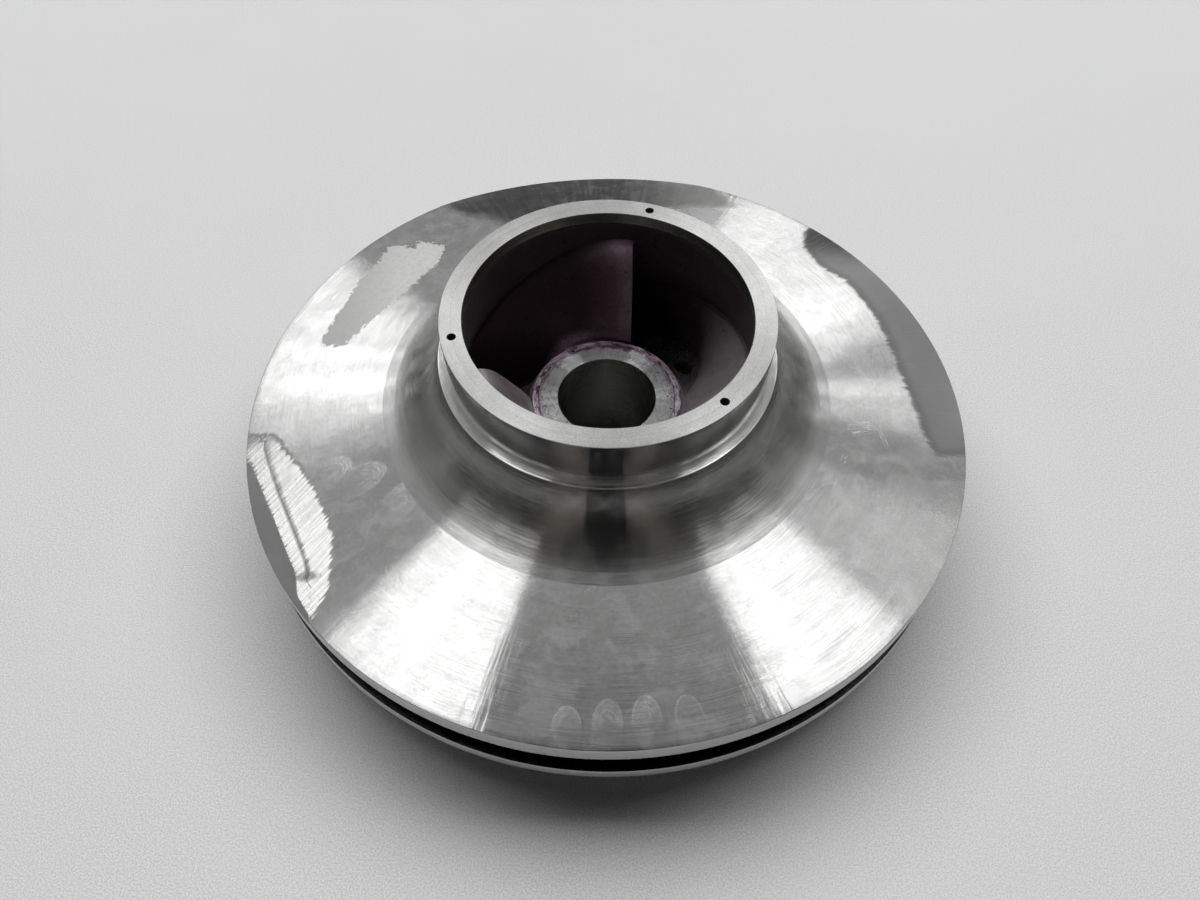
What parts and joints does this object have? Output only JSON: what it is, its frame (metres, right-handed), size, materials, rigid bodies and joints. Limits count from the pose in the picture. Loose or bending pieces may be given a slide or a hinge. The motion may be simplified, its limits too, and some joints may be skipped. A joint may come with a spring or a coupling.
{
  "type": "closed pump impeller",
  "caption": "Closed centrifugal pump impeller: twisted vanes cast between two shrouds round a keyed hub, with a shrunk-on wear ring locked on each neck.",
  "frame": {"origin": "on the shaft axis, in the plane of the rear wear ring's end face, on which the impeller rests", "axes": "+Z along the shaft axis towards the suction eye; -Y towards the side from which the picture was taken, which is also the side of the keyway"},
  "size_m": [0.35, 0.35, 0.1213],
  "materials": {
    "cast_stainless": "cast stainless steel, turned bright outside, as cast inside the passages",
    "ring_stainless": "turned and faced stainless steel",
    "black_screw": "black oxide set screw"
  },
  "bodies": {
    "root": {"impeller_casting": "cast_stainless", "eye_wear_ring": "ring_stainless", "rear_wear_ring": "ring_stainless", "eye_lock_screw_1": "black_screw", "eye_lock_screw_2": "black_screw", "eye_lock_screw_3": "black_screw", "rear_lock_screw_1": "black_screw", "rear_lock_screw_2": "black_screw", "rear_lock_screw_3": "black_screw"}
  },
  "joints": []
}
